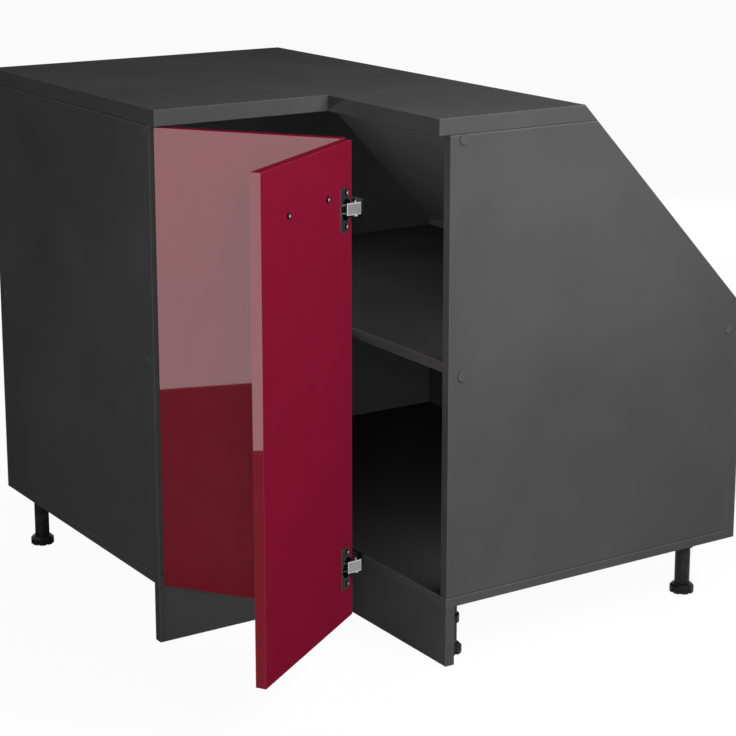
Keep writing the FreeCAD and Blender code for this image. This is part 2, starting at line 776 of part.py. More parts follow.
def make_fold_hinge(name, level):
    """The hinge between the two doors."""
    ears = both_halves(sector(fold_arc_inner, fold_arc_outer, fold_ear_start_angle, fold_ear_end_angle,
                              ear_low, ear_high))
    floor_x = fold_inner_face - cup_depth + cup_floor / 2
    root_y = -fold_arc_inner + overrun
    roots = both_halves(box(floor_x, floor_x + ear_root_width, root_y - overrun - ear_root_length, root_y,
                            ear_low, ear_high))
    cup = fused([placed(cup_shell(), fold_cup_place)] + ears + roots)
    screws = [placed(s, fold_cup_place) for s in cup_screws()]
    keep("fold_hinge_cup_" + name, placed(lifted(cup.cut(screws), level), second_door))

    link = faceted_channel(fold_arc_inner, fold_arc_outer, fold_wall_thickness, fold_link_start_angle,
                           fold_link_end_angle)
    keep("fold_hinge_link_" + name, placed(lifted(link, level), fold_link))

    nose = sector(fold_arc_inner, fold_arc_outer, fold_nose_start_angle, fold_nose_end_angle,
                  -nose_half, nose_half)
    arm = fused([placed(arm_block(), fold_arm_place), nose])
    plate_fixings = [placed(s, fold_arm_place) for s in plate_screws()]
    plate = placed(arm_plate(), fold_arm_place).cut(plate_fixings)
    keep("fold_hinge_arm_" + name, placed(lifted(arm, level), fold_frame))
    keep("fold_hinge_plate_" + name, placed(lifted(plate, level), fold_frame))
    return ([placed(lifted(s, level), second_door) for s in screws],
            [placed(lifted(s, level), fold_frame) for s in plate_fixings])


def cup_bore(place, level, door):
    bore = rod(cup_radius, Vector(-cup_depth, 0, 0), Vector(1, 0, 0), cup_depth + overrun)
    return placed(lifted(placed(bore, place), level), door)


def make_handle(door_end):
    """A bow handle on the outer face, bent from one bar, and the screws that hold it."""
    level = door_top - handle_drop
    face = fold_outer_face
    reach_x = face - handle_reach
    middle = door_end - door_width / 2
    ends = [middle - handle_spacing / 2, middle + handle_spacing / 2]
    b = handle_bend
    s = b * (1 - math.cos(math.pi / 4))
    points = [Vector(face, ends[0], level), Vector(reach_x + b, ends[0], level),
              Vector(reach_x, ends[0] + b, level), Vector(reach_x, ends[1] - b, level),
              Vector(reach_x + b, ends[1], level), Vector(face, ends[1], level)]
    first_mid = Vector(reach_x + s, ends[0] + s, level)
    second_mid = Vector(reach_x + s, ends[1] - s, level)
    path = Part.Wire([Part.LineSegment(points[0], points[1]).toShape(),
                      Part.Arc(points[1], first_mid, points[2]).toShape(),
                      Part.LineSegment(points[2], points[3]).toShape(),
                      Part.Arc(points[3], second_mid, points[4]).toShape(),
                      Part.LineSegment(points[4], points[5]).toShape()])
    ring = Part.Wire([Part.Circle(points[0], Vector(1, 0, 0), handle_radius).toShape()])
    bar = path.makePipeShell([ring], True, False)
    feet = []
    screws = []
    for y in ends:
        feet.append(rod(handle_foot_radius, Vector(face, y, level), Vector(-1, 0, 0), handle_foot_height))
        head = domed(handle_screw_head_radius, Vector(fold_inner_face, y, level), Vector(1, 0, 0),
                     handle_screw_head_height)
        shank = rod(handle_screw_radius, Vector(fold_inner_face, y, level), Vector(-1, 0, 0),
                    door_thickness + handle_screw_into)
        screws.append(fused([head, shank]))
    handle = fused([bar] + feet).cut(screws)
    keep("handle", placed(handle, second_door))
    group("handle_screws", [placed(s, second_door) for s in screws])
    return [placed(s, second_door) for s in screws]


def make_doors():
    door_end = -fold_axis_offset
    left = softened(box(door_hinge_edge, door_hinge_edge + door_width,
                        -swing_axis_from_face, swing_inner_face, door_bottom, door_top))
    right = softened(box(fold_outer_face, fold_inner_face, door_end - door_width, door_end,
                         door_bottom, door_top))
    keep("left_door", placed(left, first_door))
    keep("right_door", placed(right, second_door))

    swing_cup_fixings = []
    swing_plate_fixings = []
    fold_cup_fixings = []
    fold_plate_fixings = []
    for name, level in hinge_levels.items():
        cups, plates = make_swing_hinge(name, level)
        swing_cup_fixings += cups
        swing_plate_fixings += plates
        cups, plates = make_fold_hinge(name, level)
        fold_cup_fixings += cups
        fold_plate_fixings += plates
        drilled("left_door", [cup_bore(swing_cup_place, level, first_door)])
        drilled("right_door", [cup_bore(fold_cup_place, level, second_door)])
    group("swing_cup_screws", swing_cup_fixings)
    group("swing_plate_screws", swing_plate_fixings)
    group("fold_cup_screws", fold_cup_fixings)
    group("fold_plate_screws", fold_plate_fixings)
    drilled("left_door", swing_cup_fixings + fold_plate_fixings)
    drilled("left_end_panel", swing_plate_fixings)
    handle_fixings = make_handle(door_end)
    drilled("right_door", fold_cup_fixings + handle_fixings)


make_boards()
make_cleats()
make_panel_fixings()
make_base_screws()
make_back_screws()
make_base()
make_doors()

os.makedirs("parts", exist_ok=True)
for part_name, part_shape in parts.items():
    part_shape.exportStep("parts/" + part_name + ".step")
    print(part_name, len(part_shape.Solids), "solids", round(part_shape.Volume), "mm3",
          "valid" if part_shape.isValid() else "NOT VALID")
fold_axis = fold_frame.multVec(Vector(0, 0, 0))
print("nodes", len(parts))
print("swing axis", swing_origin)
print("fold axis", fold_axis)
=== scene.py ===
import bpy
import json
import math
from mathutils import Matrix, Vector


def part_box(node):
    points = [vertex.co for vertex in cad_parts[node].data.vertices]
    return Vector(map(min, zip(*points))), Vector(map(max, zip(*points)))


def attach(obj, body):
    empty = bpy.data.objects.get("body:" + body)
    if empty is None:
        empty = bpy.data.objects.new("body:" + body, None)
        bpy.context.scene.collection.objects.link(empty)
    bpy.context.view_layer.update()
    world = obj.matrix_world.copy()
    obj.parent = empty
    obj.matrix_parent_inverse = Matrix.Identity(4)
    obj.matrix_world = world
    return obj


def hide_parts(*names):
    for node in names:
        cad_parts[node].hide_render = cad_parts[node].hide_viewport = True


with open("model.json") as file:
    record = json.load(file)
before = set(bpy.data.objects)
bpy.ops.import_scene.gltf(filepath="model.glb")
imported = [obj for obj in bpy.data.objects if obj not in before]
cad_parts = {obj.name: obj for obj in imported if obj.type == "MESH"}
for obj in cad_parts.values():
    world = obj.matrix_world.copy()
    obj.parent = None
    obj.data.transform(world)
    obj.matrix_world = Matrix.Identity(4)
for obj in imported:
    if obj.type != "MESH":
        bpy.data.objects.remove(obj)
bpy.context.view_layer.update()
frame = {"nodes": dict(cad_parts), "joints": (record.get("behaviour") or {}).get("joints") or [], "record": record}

nodes = frame["nodes"]
slotOf = {row["node"]: row["material_slot"] for row in frame["record"]["subparts"]}
bodyOf = {node: body for body, rows in frame["record"]["behaviour"]["bodies"].items() for node in rows}
print("loaded", len(nodes), "nodes")


def feed(tree, socket, term):
    # the term is another node's output, or a plain value
    if isinstance(term, bpy.types.NodeSocket):
        tree.links.new(term, socket)
    else:
        socket.default_value = term


def addNode(tree, kind, place, **values):
    # each value goes to the input of its name, or else to the node's own setting
    node = tree.nodes.new(kind)
    node.location = place
    for name, value in values.items():
        if name in node.inputs:
            feed(tree, node.inputs[name], value)
        else:
            setattr(node, name, value)
    return node


def clearTree(owner):
    owner.use_nodes = True
    owner.node_tree.nodes.clear()
    return owner.node_tree


def newGroup(name, inputs, outputs):
    # gives the group's tree and the sockets of its inputs; of what it puts out only Colour is a colour
    tree = bpy.data.node_groups.new(name, "ShaderNodeTree")
    for label, value in inputs.items():
        size = len(value) if isinstance(value, tuple) else 1
        kind = {1: "NodeSocketFloat", 3: "NodeSocketVector", 4: "NodeSocketColor"}[size]
        socket = tree.interface.new_socket(name=label, in_out="INPUT", socket_type=kind)
        socket.default_value = value
    for label in outputs:
        kind = "NodeSocketColor" if label == "Colour" else "NodeSocketFloat"
        tree.interface.new_socket(name=label, in_out="OUTPUT", socket_type=kind)
    return tree, addNode(tree, "NodeGroupInput", (-1200, 0)).outputs


def calc(tree, place, operation, *terms):
    node = addNode(tree, "ShaderNodeMath", place, operation=operation)
    for socket, term in zip(node.inputs, terms):
        feed(tree, socket, term)
    return node.outputs[0]


def vectorCalc(tree, place, operation, first, second):
    node = addNode(tree, "ShaderNodeVectorMath", place, operation=operation)
    feed(tree, node.inputs[0], first)
    feed(tree, node.inputs[1], second)
    return node.outputs["Value" if operation == "DOT_PRODUCT" else "Vector"]


def remap(tree, place, value, seen, wanted=(0.0, 1.0)):
    # what the value runs between, and what it becomes there
    node = addNode(tree, "ShaderNodeMapRange", place, Value=value)
    for name, number in zip(("From Min", "From Max", "To Min", "To Max"), (*seen, *wanted)):
        node.inputs[name].default_value = number
    return node.outputs["Result"]


# where the Mix node keeps its factor, its two ends and its result, for each kind of value
mixSockets = {"FLOAT": (0, 2, 3, 0), "RGBA": (0, 6, 7, 2)}


def mix(tree, place, kind, factor, first, second, mode="MIX"):
    node = addNode(tree, "ShaderNodeMix", place, data_type=kind, blend_type=mode)
    *ends, result = mixSockets[kind]
    for index, term in zip(ends, (factor, first, second)):
        feed(tree, node.inputs[index], term)
    return node.outputs[result]


def objectPoint(tree):
    return addNode(tree, "ShaderNodeTexCoord", (-1200, -300)).outputs["Object"]


def noise(tree, place, point, **values):
    return addNode(tree, "ShaderNodeTexNoise", place, Vector=point, **values).outputs["Fac"]


def grey(tone):
    return (tone, tone, tone, 1)


# the cosine between the rounded and the plain normal, where the arris starts and where it is full
arrisTurn = {"start": 0.995, "full": 0.9, "samples": 6}


def arrisMask(tree, place, radius):
    # one where the surface turns round an edge, nought on the flat
    x, y = place
    rounded = addNode(tree, "ShaderNodeBevel", (x, y), samples=arrisTurn["samples"], Radius=radius)
    plain = addNode(tree, "ShaderNodeNewGeometry", (x, y - 200))
    cosine = vectorCalc(tree, (x + 200, y), "DOT_PRODUCT", rounded.outputs[0], plain.outputs["True Normal"])
    return remap(tree, (x + 400, y), cosine, (arrisTurn["start"], arrisTurn["full"]))


seams = {
    # the two levels where flush boards meet: under the top board, and on the bottom board
    "levels": (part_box("top_board")[0][2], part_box("bottom_board")[1][2]),
    "halfWidth": 0.0008,
    "seamShadeFactor": 0.45,
    "arrisBelow": 0.0017,   # painted highlight on the lower board's arris, as if it caught the light
    "seamHighlightFactor": 1.5,
}


def bandsAt(tree, place, height, levels):
    # one where the height is at one of the two levels
    x, y = place
    upper, lower = (calc(tree, (x, y - 180 * row), "COMPARE", height, level, seams["halfWidth"])
                    for row, level in enumerate(levels))
    return calc(tree, (x + 200, y), "MAXIMUM", upper, lower)


def seamShadeAndHighlight(tree, place, point):
    # a factor for the colour: painted shade in the joint between two boards, painted highlight on the arris below
    # it
    x, y = place
    height = addNode(tree, "ShaderNodeSeparateXYZ", (x, y), Vector=point).outputs["Z"]
    seamHighlightLevels = [level - seams["arrisBelow"] for level in seams["levels"]]
    shades = []
    for row, (levels, end) in enumerate(((seams["levels"], seams["seamShadeFactor"]), (seamHighlightLevels, seams["seamHighlightFactor"]))):
        band = bandsAt(tree, (x + 200, y - 400 * row), height, levels)
        shades.append(remap(tree, (x + 600, y - 400 * row), band, (0.0, 1.0), (1.0, end)))
    return calc(tree, (x + 800, y), "MULTIPLY", *shades)


# laminate: a fine pearl in the pressed surface, faint clouds and a painted highlight on the arris
# a span is the part of a noise's range that shows
laminate = {
    "roughness": 0.6,
    "specular": 0.0,
    "pearlScale": 900.0,
    "pearl": {"Detail": 3.0, "Roughness": 0.6},
    "pearlSpan": (0.35, 0.65),
    "pearlShade": (0.9, 1.1),       # the colour's value in the pearl
    "clouds": {"Scale": 6.0, "Detail": 4.0},
    "cloudSpan": (0.3, 0.7),
    "cloudAmount": 0.1,
    "smears": {"Scale": 22.0, "Detail": 5.0, "Distortion": 0.6},
    "smearSpan": (0.35, 0.7),
    "smearSheen": (-0.04, 0.06),    # what the smears add to the roughness
    "arrisRadius": 0.0016,
    "arrisHighlightTone": 0.24,
    "arrisHighlightAmount": 0.35,
    "bump": 0.12,
    "bumpDepth": 0.0003,
}


def makeLaminateGroup():
    tree, given = newGroup(
        "laminateSurface",
        {"Colour": (0.04, 0.04, 0.042, 1), "Pearl Scale": laminate["pearlScale"],
         "Cloud Amount": laminate["cloudAmount"], "Arris": laminate["arrisHighlightAmount"],
         "Base Roughness": laminate["roughness"]},
        ("Colour", "Roughness", "Height"))
    point = objectPoint(tree)
    pearl = noise(tree, (-900, 200), point, Scale=given["Pearl Scale"], **laminate["pearl"])
    clouds = noise(tree, (-900, -100), point, **laminate["clouds"])
    smears = noise(tree, (-900, -400), point, **laminate["smears"])

    # clouds and pearl change the colour's value, and the seams add painted shade and painted highlight
    paleOrDark = remap(tree, (-650, -100), clouds, laminate["cloudSpan"], (-1.0, 1.0))
    cloudShade = calc(tree, (-450, -100), "MULTIPLY", paleOrDark, given["Cloud Amount"])
    pearlShade = remap(tree, (-650, 200), pearl, laminate["pearlSpan"], laminate["pearlShade"])
    value = calc(tree, (-250, 60), "ADD", pearlShade, cloudShade)
    shaded = calc(tree, (-50, 60), "MULTIPLY", value, seamShadeAndHighlight(tree, (-900, 900), point))

    # painted highlight: the rounded arris is painted paler, as if it caught the light
    edge = arrisMask(tree, (-900, 500), laminate["arrisRadius"])
    arrisHighlightWeight = calc(tree, (-450, 500), "MULTIPLY", edge, given["Arris"])
    highlightedColour = mix(tree, (-50, 350), "RGBA", arrisHighlightWeight, given["Colour"], grey(laminate["arrisHighlightTone"]))
    tone = addNode(tree, "ShaderNodeHueSaturation", (200, 250), Color=highlightedColour, Value=shaded)

    # smears change the sheen
    smearSheen = remap(tree, (-650, -400), smears, laminate["smearSpan"], laminate["smearSheen"])
    sheen = calc(tree, (-250, -350), "ADD", given["Base Roughness"], smearSheen)
    addNode(tree, "NodeGroupOutput", (900, 0), Colour=tone.outputs["Color"], Roughness=sheen, Height=pearl)
    return tree


# lacquer: colour clouds hardly seen, orange peel, fine wipe marks in the gloss, a painted highlight on the arris
lacquer = {
    "peel": {"Scale": 160.0, "Detail": 2.0},
    "wipes": {"Scale": 9.0, "Detail": 5.0, "Distortion": 1.2},
    "wipeSpan": (0.3, 0.7),
    "wipeShade": (0.96, 1.04),      # a factor for the colour's value and for the roughness
    "arrisRadius": 0.0009,
    "arrisHighlightColour": (0.6, 0.25, 0.3, 1),     # a pale pink painted highlight on the arris
    "arrisHighlightAmount": 0.3,
    "bump": 0.03,
    "bumpDepth": 0.0002,
}


def makeLacquerGroup():
    tree, given = newGroup(
        "lacquerSurface",
        {"Colour": (0.2, 0.01, 0.02, 1), "Inner Colour": (0.2, 0.01, 0.02, 1), "Inner Mask": 0.0,
         "Gloss Roughness": 0.03, "Inner Roughness": 0.3, "Arris": lacquer["arrisHighlightAmount"]},
        ("Colour", "Roughness", "Coat", "Height"))
    point = objectPoint(tree)
    peel = noise(tree, (-900, 0), point, **lacquer["peel"])
    wipes = noise(tree, (-900, -300), point, **lacquer["wipes"])
    marks = remap(tree, (-500, -300), wipes, lacquer["wipeSpan"], lacquer["wipeShade"])
    colour = mix(tree, (-200, 250), "RGBA", given["Inner Mask"], given["Colour"], given["Inner Colour"])
    tone = addNode(tree, "ShaderNodeHueSaturation", (100, 250), Color=colour, Value=marks)
    # painted highlight: the arris is mixed towards a pale pink
    edge = arrisMask(tree, (-400, 500), lacquer["arrisRadius"])
    lacquerGlintWeight = calc(tree, (100, 500), "MULTIPLY", edge, given["Arris"])
    glintedLacquerColour = mix(tree, (400, 300), "RGBA", lacquerGlintWeight, tone.outputs["Color"], lacquer["arrisHighlightColour"])
    rough = mix(tree, (-100, -50), "FLOAT", given["Inner Mask"], given["Gloss Roughness"],
                given["Inner Roughness"])
    marked = calc(tree, (100, -50), "MULTIPLY", rough, marks)
    coat = calc(tree, (100, -250), "SUBTRACT", 1.0, given["Inner Mask"])
    addNode(tree, "NodeGroupOutput", (900, 0), Colour=glintedLacquerColour, Roughness=marked, Coat=coat, Height=peel)
    return tree


# plated steel: drawn lines along one direction, small tarnish clouds, a painted highlight on the arris
plating = {
    "lines": {"Scale": 1.0, "Detail": 3.0},
    "lineStretch": (60.0, 60.0, 1500.0),
    "lineRoughness": 0.16,          # what a drawn line adds at most
    "tarnish": {"Scale": 90.0, "Detail": 4.0},
    "tarnishSpan": (0.45, 0.75),
    "tarnishColour": (0.55, 0.53, 0.5, 1),
    "tarnishAmount": 0.3,
    "arrisReach": 0.0009,
    "arrisHighlightAmount": 0.2,
    "glintTone": 0.75,
    "bump": 0.08,
    "bumpDepth": 0.0001,
}


def makeMetalGroup():
    tree, given = newGroup(
        "platedMetal",
        {"Colour": (0.6, 0.6, 0.6, 1), "Line Stretch": plating["lineStretch"], "Base Roughness": 0.25,
         "Tarnish": plating["tarnishAmount"], "Arris": plating["arrisHighlightAmount"],
         "Arris Reach": plating["arrisReach"], "Glint Tone": grey(plating["glintTone"])},
        ("Colour", "Roughness", "Height"))
    point = objectPoint(tree)
    drawn = vectorCalc(tree, (-950, 0), "MULTIPLY", point, given["Line Stretch"])
    lines = noise(tree, (-700, 0), drawn, **plating["lines"])
    clouds = noise(tree, (-700, -300), point, **plating["tarnish"])
    dull = remap(tree, (-450, -300), clouds, plating["tarnishSpan"])
    tarnish = calc(tree, (-250, -300), "MULTIPLY", dull, given["Tarnish"])
    plain = mix(tree, (0, 200), "RGBA", tarnish, given["Colour"], plating["tarnishColour"], "MULTIPLY")
    # painted highlight: the arris is mixed towards the glint tone
    edge = arrisMask(tree, (-500, 500), given["Arris Reach"])
    metalGlintWeight = calc(tree, (0, 500), "MULTIPLY", edge, given["Arris"])
    glintedMetalColour = mix(tree, (300, 300), "RGBA", metalGlintWeight, plain, given["Glint Tone"])
    rough = calc(tree, (0, -100), "MULTIPLY_ADD", lines, plating["lineRoughness"], given["Base Roughness"])
    addNode(tree, "NodeGroupOutput", (900, 0), Colour=glintedMetalColour, Roughness=rough, Height=lines)
    return tree


# moulded plastic: spark-eroded grain and a little dust
moulding = {
    "roughness": 0.4,
    "grainScale": 1400.0,
    "grain": {"Detail": 2.0},
    "dust": {"Scale": 70.0, "Detail": 6.0},
    "dustSpan": (0.5, 0.8),
    "dustColour": (0.3, 0.29, 0.28, 1),
    "dustAmount": 0.08,
    "bump": 0.25,
    "bumpDepth": 0.0002,
}


def makePlasticGroup():
    tree, given = newGroup(
        "mouldedPlastic",
        {"Colour": (0.02, 0.02, 0.02, 1), "Grain Scale": moulding["grainScale"],
         "Dust": moulding["dustAmount"], "Base Roughness": moulding["roughness"]},
        ("Colour", "Roughness", "Height"))
    point = objectPoint(tree)
    grain = noise(tree, (-900, 0), point, Scale=given["Grain Scale"], **moulding["grain"])
    specks = noise(tree, (-900, -300), point, **moulding["dust"])
    settled = remap(tree, (-650, -300), specks, moulding["dustSpan"])
    dusty = calc(tree, (-450, -300), "MULTIPLY", settled, given["Dust"])
    colour = mix(tree, (0, 200), "RGBA", dusty, given["Colour"], moulding["dustColour"])
    rough = calc(tree, (0, -100), "ADD", dusty, given["Base Roughness"])
    addNode(tree, "NodeGroupOutput", (900, 0), Colour=colour, Roughness=rough, Height=grain)
    return tree


laminateGroup = makeLaminateGroup()
lacquerGroup = makeLacquerGroup()
metalGroup = makeMetalGroup()
plasticGroup = makePlasticGroup()
print("shader groups ready")


def startMaterial(name):
    material = bpy.data.materials.new(name)
    tree = clearTree(material)
    shader = addNode(tree, "ShaderNodeBsdfPrincipled", (300, 0))
    addNode(tree, "ShaderNodeOutputMaterial", (600, 0), Surface=shader.outputs[0])
    return material, tree, shader


def dress(tree, shader, group, look, values):
    # places a shared surface with its own values, and joins it to the shader
    surface = addNode(tree, "ShaderNodeGroup", (-300, 0), node_tree=group, **values)
    bump = addNode(tree, "ShaderNodeBump", (50, -300), Strength=look["bump"], Distance=look["bumpDepth"],
                   Height=surface.outputs["Height"])
    feed(tree, shader.inputs["Base Color"], surface.outputs["Colour"])
    feed(tree, shader.inputs["Roughness"], surface.outputs["Roughness"])
    feed(tree, shader.inputs["Normal"], bump.outputs[0])
    return surface


def makeLaminate(name, colour):
    material, tree, shader = startMaterial(name)
    dress(tree, shader, laminateGroup, laminate,
          {"Colour": (*colour, 1), "Base Roughness": laminate["roughness"],
           "Cloud Amount": laminate["cloudAmount"], "Arris": laminate["arrisHighlightAmount"]})
    shader.inputs["Specular IOR Level"].default_value = laminate["specular"]
    return material


def makeMetal(name, colour, roughness, glintAmount=plating["arrisHighlightAmount"], reach=plating["arrisReach"],
              glintTone=plating["glintTone"]):
    material, tree, shader = startMaterial(name)
    dress(tree, shader, metalGroup, plating,
          {"Colour": (*colour, 1), "Base Roughness": roughness, "Arris": glintAmount, "Arris Reach": reach,
           "Glint Tone": grey(glintTone)})
    shader.inputs["Metallic"].default_value = 1.0
    return material


def makePlastic(name, colour, specular):
    material, tree, shader = startMaterial(name)
    dress(tree, shader, plasticGroup, moulding,
          {"Colour": (*colour, 1), "Base Roughness": moulding["roughness"]})
    shader.inputs["Specular IOR Level"].default_value = specular
    return material


def beyond(tree, point, y, normal, distance):
    # one where the object's own point lies past a plane
    along = vectorCalc(tree, (-900, y), "DOT_PRODUCT", point, normal)
    return calc(tree, (-700, y), "GREATER_THAN", along, distance)


# the doors: gloss on the outer face and the upright edges, matt on the inner face and the ends
doorFinish = {
    "colour": (0.14, 0.006, 0.015, 1),
    "innerColour": (0.124, 0.0043, 0.0165, 1),
    "gloss": 0.02,
    "innerRoughness": 0.5,
    "specular": 0.0,
    "coatIor": 1.6,
    "skin": 0.0002,         # how deep the inner finish reaches from its face
}


def makeDoorLacquer(side, inwards):
    material, tree, shader = startMaterial(side + "DoorLacquer")
    point = objectPoint(tree)
    skin = doorFinish["skin"]
    low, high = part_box(side + "_door")
    innerPlane = max(vertex.co.dot(inwards) for vertex in nodes[side + "_door"].data.vertices)
    inner = beyond(tree, point, -100, inwards, innerPlane - skin)
    upper = beyond(tree, point, -300, (0, 0, 1), high.z - skin)
    lower = beyond(tree, point, -500, (0, 0, -1), -low.z - skin)
    ends = calc(tree, (-600, -400), "MAXIMUM", upper, lower)
    mask = calc(tree, (-450, -250), "MAXIMUM", inner, ends)
    surface = dress(tree, shader, lacquerGroup, lacquer,
                    {"Colour": doorFinish["colour"], "Gloss Roughness": doorFinish["gloss"],
                     "Inner Colour": doorFinish["innerColour"],
                     "Inner Roughness": doorFinish["innerRoughness"], "Inner Mask": mask})
    feed(tree, shader.inputs["Coat Weight"], surface.outputs["Coat"])
    shader.inputs["Specular IOR Level"].default_value = doorFinish["specular"]
    shader.inputs["Coat Roughness"].default_value = doorFinish["gloss"]
    shader.inputs["Coat IOR"].default_value = doorFinish["coatIor"]
    return material


# how far each door stands turned at rest, and the way its inner face looks
doorTurn = {"left": math.radians(54.0), "right": math.radians(56.0)}
leftInner = Vector((-math.cos(doorTurn["left"]), math.sin(doorTurn["left"]), 0))
rightInner = Vector((math.sin(doorTurn["right"]), math.cos(doorTurn["right"]), 0))
doorMaterials = {"left": makeDoorLacquer("left", leftInner), "right": makeDoorLacquer("right", rightInner)}

boardTone = (0.05, 0.05, 0.051)
thinTone = (0.045, 0.045, 0.046)
finishes = {
    "top_laminate": makeLaminate("topLaminate", boardTone),
    "board_laminate": makeLaminate("boardLaminate", boardTone),
    "back_skin": makeLaminate("backSkin", thinTone),
    "cleat_laminate": makeLaminate("cleatLaminate", boardTone),
    "plinth_laminate": makeLaminate("plinthLaminate", thinTone),
    "cap_plastic": makePlastic("capPlastic", (0.052, 0.052, 0.053), 0.0),
    # painted shade: the screw heads are near-black steel, with a painted highlight in their recesses
    "screw_steel": makeMetal("screwShadeSteel", (0.012, 0.012, 0.012), 0.25, glintAmount=0.0),
    "pin_steel": makeMetal("pinSteel", (0.3, 0.3, 0.3), 0.3),
    "clip_plastic": makePlastic("clipPlastic", (0.007, 0.007, 0.007), 0.1),
    # painted reflection: the cup's steel is made dark, as if it reflected dark surroundings
    "cup_steel": makeMetal("cupSteelDarkReflection", (0.12, 0.12, 0.12), 0.35, glintAmount=0.6, reach=0.0014),
    "link_steel": makeMetal("linkSteel", (0.28, 0.28, 0.28), 0.18, glintAmount=1.0, reach=0.0028, glintTone=1.0),
    "arm_steel": makeMetal("armSteel", (0.3, 0.3, 0.3), 0.2),
    "plate_steel": makeMetal("plateSteel", (0.3, 0.3, 0.3), 0.25),
    "handle_steel": makeMetal("handleSteel", (0.6, 0.6, 0.6), 0.22),
    "leg_plastic": makePlastic("legPlastic", (0.01, 0.01, 0.01), 0.1),
    "foot_plastic": makePlastic("footPlastic", (0.007, 0.007, 0.007), 0.1),
}
# painted highlight: bright steel for the screws' cross recesses, against the painted shade of the heads
recessHighlightSteel = makeMetal("recessHighlightSteel", (0.9, 0.9, 0.89), 0.4, glintAmount=0.0)

for name, piece in nodes.items():
    slotName = slotOf[name]
    material = doorMaterials[name.split("_")[0]] if slotName == "door_front" else finishes[slotName]
    piece.data.materials.clear()
    piece.data.materials.append(material)
print("materials on", len(nodes), "nodes")


def loneSelect(piece):
    bpy.ops.object.select_all(action="DESELECT")
    piece.select_set(True)
    bpy.context.view_layer.objects.active = piece


def linkedCopy(name, mesh):
    # a new piece with its own copy of a mesh
    piece = bpy.data.objects.new(name, mesh.copy())
    bpy.context.scene.collection.objects.link(piece)
    return piece


def applyPlace():
    bpy.ops.object.transform_apply(location=True, rotation=True, scale=True)


def looksTo(face, way):
    return face.normal.dot(Vector(way)) > 0.9   # within about 25 degrees


def pickFaces(piece, wanted):
    # deselects all, selects the faces that the test wants, and leaves the piece in edit mode
    loneSelect(piece)
    bpy.ops.object.mode_set(mode="EDIT")
    bpy.ops.mesh.select_mode(type="FACE")
    bpy.ops.mesh.select_all(action="DESELECT")
    bpy.ops.object.mode_set(mode="OBJECT")
    for face in piece.data.polygons:
        face.select = wanted(face)
    bpy.ops.object.mode_set(mode="EDIT")


# cross recesses in the heads of the screws, lined with bright steel as a painted highlight
drive = {
    "width": 0.0018,
    "arm": 0.0015,          # each arm of the cross, past its middle square
    "depth": 0.0008,
    "foot": 0.7,            # the bottom of the recess against its mouth
    "proud": 0.0004,        # how far the cutter stands out of the head
    "flatWithin": 0.00002,  # points this near to one plane make a flat top
    "joinWithin": 1e-6,     # points this near to each other become one
}


def mergedCopy(name):
    # a copy of a CAD node's mesh, its loose triangles joined
    piece = linkedCopy(name + "_driven", nodes[name].data)
    loneSelect(piece)
    bpy.ops.object.mode_set(mode="EDIT")
    bpy.ops.mesh.select_all(action="SELECT")
    bpy.ops.mesh.remove_doubles(threshold=drive["joinWithin"])
    bpy.ops.object.mode_set(mode="OBJECT")
    return piece


def islandsOf(mesh):
    # the points of each screw in a node, as lists of vertex numbers
    group = list(range(len(mesh.vertices)))

    def rootOf(i):
        while group[i] != i:
            group[i] = group[group[i]]
            i = group[i]
        return i

    for edge in mesh.edges:
        a, b = (rootOf(i) for i in edge.vertices)
        group[a] = b
    islands = {}
    for i in range(len(group)):
        islands.setdefault(rootOf(i), []).append(i)
    return list(islands.values())


def headOf(points, outwards):
    # the middle of a screw's flat top, and the way it faces: the way that has the most points in one plane
    best = None
    for outward in outwards:
        far = max(point.dot(outward) for point in points)
        top = [point for point in points if far - point.dot(outward) < drive["flatWithin"]]
        if best is None or len(top) > best[0]:
            best = (len(top), sum(top, Vector()) / len(top), outward)
    return best[1:]


def isMiddle(face, way):
    # an arm grows out of the middle square's own side, not out of an earlier arm's, which lies aside
    aside = face.center - way * face.center.dot(way)
    return aside.xy.length < drive["width"] / 10


def makeCutter():
    bpy.ops.object.select_all(action="DESELECT")
    bpy.ops.mesh.primitive_cube_add(size=1)
    cutter = bpy.context.active_object
    height = drive["depth"] + drive["proud"]
    cutter.scale = (drive["width"], drive["width"], height)
    cutter.location = (0, 0, drive["proud"] - height / 2)
    applyPlace()
    for way in (Vector((1, 0, 0)), Vector((0, 1, 0)), Vector((-1, 0, 0)), Vector((0, -1, 0))):
        pickFaces(cutter, lambda face: looksTo(face, way) and isMiddle(face, way))
        bpy.ops.mesh.extrude_region_move(TRANSFORM_OT_translate={"value": way * drive["arm"]})
        bpy.ops.object.mode_set(mode="OBJECT")
    # the recess narrows towards its bottom
    pickFaces(cutter, lambda face: looksTo(face, (0, 0, -1)))
    bpy.ops.transform.resize(value=(drive["foot"], drive["foot"], 1), center_override=(0, 0, 0))
    bpy.ops.object.mode_set(mode="OBJECT")
    cutter.data.materials.append(recessHighlightSteel)
    return cutter


def placeCutters(piece, outwards):
    # one cutter in each screw's head, all joined
    points = [vertex.co.copy() for vertex in piece.data.vertices]
    tools = []
    for island in islandsOf(piece.data):
        middle, outward = headOf([points[i] for i in island], outwards)
        tool = linkedCopy("recessTool", cutter.data)
        tool.location = middle
        tool.rotation_euler = outward.to_track_quat("Z", "Y").to_euler()
        tools.append(tool)
    loneSelect(tools[0])
    for tool in tools:
        tool.select_set(True)
    bpy.ops.object.join()
    applyPlace()
    return tools[0]


